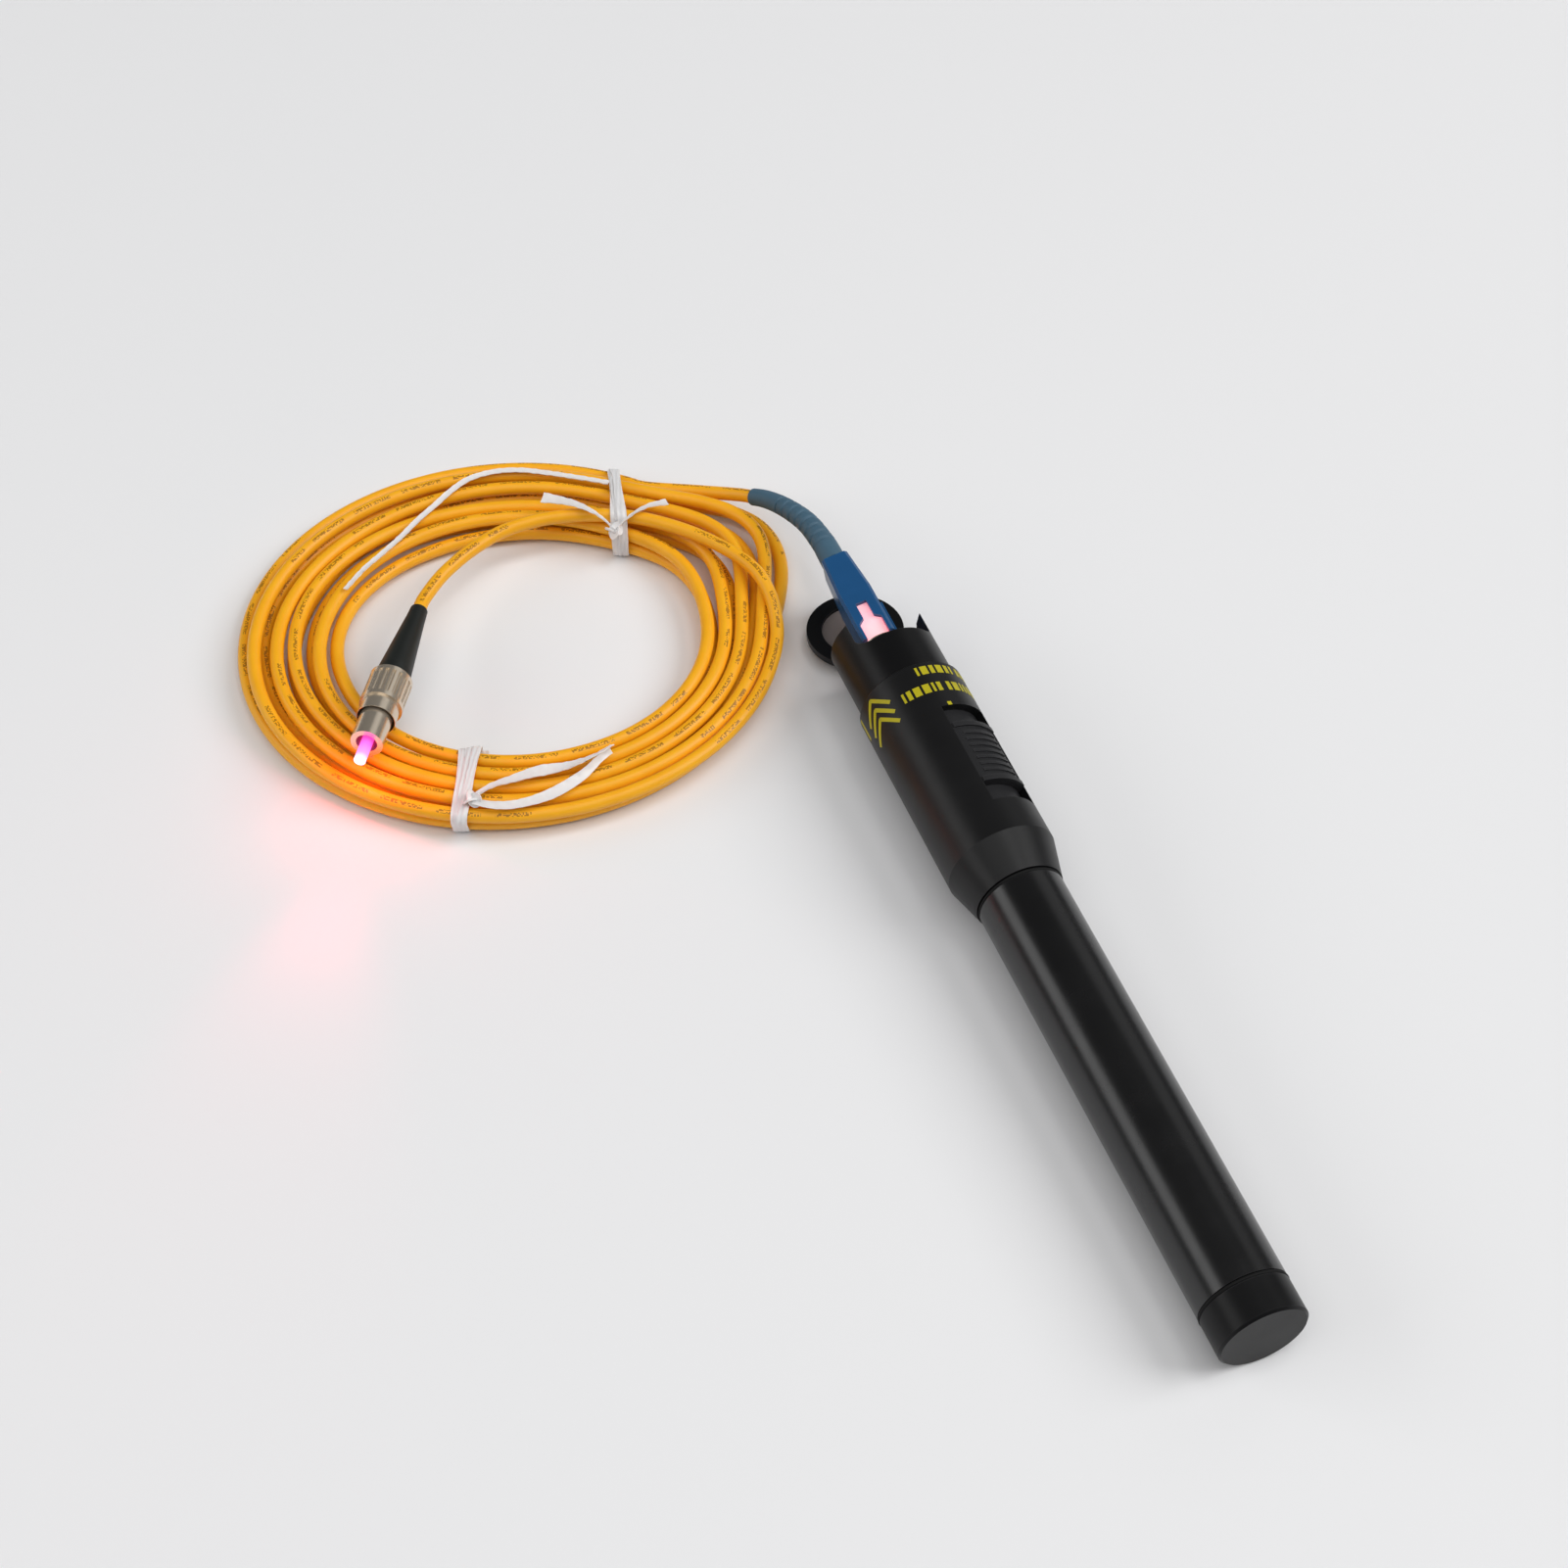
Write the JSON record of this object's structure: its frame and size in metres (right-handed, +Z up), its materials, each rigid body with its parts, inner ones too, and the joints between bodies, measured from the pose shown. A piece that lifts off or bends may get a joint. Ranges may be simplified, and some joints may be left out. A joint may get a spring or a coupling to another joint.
{
  "type": "visual fault locator",
  "caption": "Pen-shaped visual fault locator with a slide switch, screw tail cap and hinged port cap, plugged into a coiled single-fibre patch cord with a square plug and a round screw plug.",
  "frame": {"origin": "on the floor under the middle of the pen's bounding box with its open flip cap", "axes": "+X along the pen towards its port, +Z up, +Y to the side where the patch cord is coiled"},
  "size_m": [0.2687, 0.1384, 0.024],
  "materials": {
    "black_plastic": "satin",
    "black_metal": "satin",
    "tube_black": "satin",
    "seal_black": "matte",
    "button_black": "matte",
    "steel": "brushed",
    "nickel": "polished",
    "zirconia": "polished",
    "brass": "satin",
    "lens": "polished",
    "board": "matte",
    "chips": "matte",
    "white_plastic": "gloss",
    "cell": "satin",
    "seal_grey": "matte",
    "blue_plastic": "gloss",
    "blue_rubber": "matte",
    "yellow_jacket": "satin",
    "black_rubber": "matte",
    "tie_white": "satin"
  },
  "bodies": {
    "pen": {"head_shell": "black_plastic", "battery_tube": "tube_black", "joint_ring": "seal_black", "tail_ring": "seal_black", "front_collar": "black_metal", "hinge_pin": "steel", "port_adapter": "nickel", "split_sleeve": "zirconia", "laser_holder": "brass", "laser_diode": "brass", "focus_lens": "lens", "lens_ring": "brass", "driver_board": "board", "board_parts": "chips", "switch_body": "chips", "switch_track": "button_black", "contact_carrier": "button_black", "front_contact": "brass", "battery_front": "cell", "battery_rear": "cell"},
    "switch_button": {"slide_knob": "button_black", "switch_lever": "white_plastic"},
    "tail_contact": {"contact_plate": "nickel", "tail_spring": "steel"},
    "tail_screw_cap": {"tail_cap": "black_metal"},
    "flip_cap": {"dust_cap": "black_metal", "cap_seal": "seal_grey"},
    "patch_cord": {"sc_frame": "white_plastic", "sc_spring": "steel", "sc_crimp": "nickel", "sc_boot": "blue_rubber", "cord_sc": "yellow_jacket", "cord_coil": "yellow_jacket", "cord_fc": "yellow_jacket", "fc_body": "nickel", "fc_stem": "nickel", "fc_spring": "steel", "fc_boot": "black_rubber", "tie_top": "tie_white", "tie_bottom": "tie_white"},
    "plug_grip": {"sc_grip": "blue_plastic"},
    "plug_ferrule": {"sc_ferrule": "zirconia"},
    "end_ferrule": {"fc_ferrule": "zirconia"},
    "nut_carrier": {"fc_clip": "steel"},
    "coupling_nut": {"fc_nut": "nickel"}
  },
  "joints": [
    {"name": "switch_slide", "type": "slide", "parent": "pen", "child": "switch_button", "axis": [0.9998, 0, 0.0223], "range_m": [-0.0045, 0.0045]},
    {"name": "tail_cap_travel", "type": "slide", "parent": "pen", "child": "tail_contact", "axis": [-0.9998, 0, -0.0223], "range_m": [0, 0.00525]},
    {"name": "tail_cap_turn", "type": "hinge", "parent": "tail_contact", "child": "tail_screw_cap", "pos_m": [-0.099, 0, 0.00899], "axis": [-0.9998, 0, -0.0223], "range_deg": [0, 1260.1]},
    {"name": "flip_cap_hinge", "type": "hinge", "parent": "pen", "child": "flip_cap", "pos_m": [0.07877, 0, 0.0032], "axis": [0, 1, 0], "range_deg": [-10, 2]},
    {"name": "plug_pull", "type": "slide", "parent": "pen", "child": "patch_cord", "axis": [0.9998, 0, 0.0223], "range_m": [0, 0.012]},
    {"name": "plug_grip_slide", "type": "slide", "parent": "patch_cord", "child": "plug_grip", "axis": [0.9998, 0, 0.0223], "range_m": [0, 0.0008]},
    {"name": "plug_ferrule_float", "type": "slide", "parent": "patch_cord", "child": "plug_ferrule", "axis": [0.9998, 0, 0.0223], "range_m": [0, 0.0006], "stiffness_N_per_m": 1500},
    {"name": "end_ferrule_float", "type": "slide", "parent": "patch_cord", "child": "end_ferrule", "axis": [0.8446, -0.5277, -0.0906], "range_m": [0, 0.0006], "stiffness_N_per_m": 1500},
    {"name": "nut_travel", "type": "slide", "parent": "patch_cord", "child": "nut_carrier", "axis": [-0.8446, 0.5277, 0.0906], "range_m": [-0.0005, 0.0009]},
    {"name": "nut_spin", "type": "hinge", "parent": "nut_carrier", "child": "coupling_nut", "pos_m": [0.10525, 0.09812, 0.01151], "axis": [-0.8446, 0.5277, 0.0906], "continuous": true}
  ],
  "couplings": [
    {"joint": "tail_cap_turn", "follows": "tail_cap_travel", "rad_per_m": 4188.8}
  ]
}
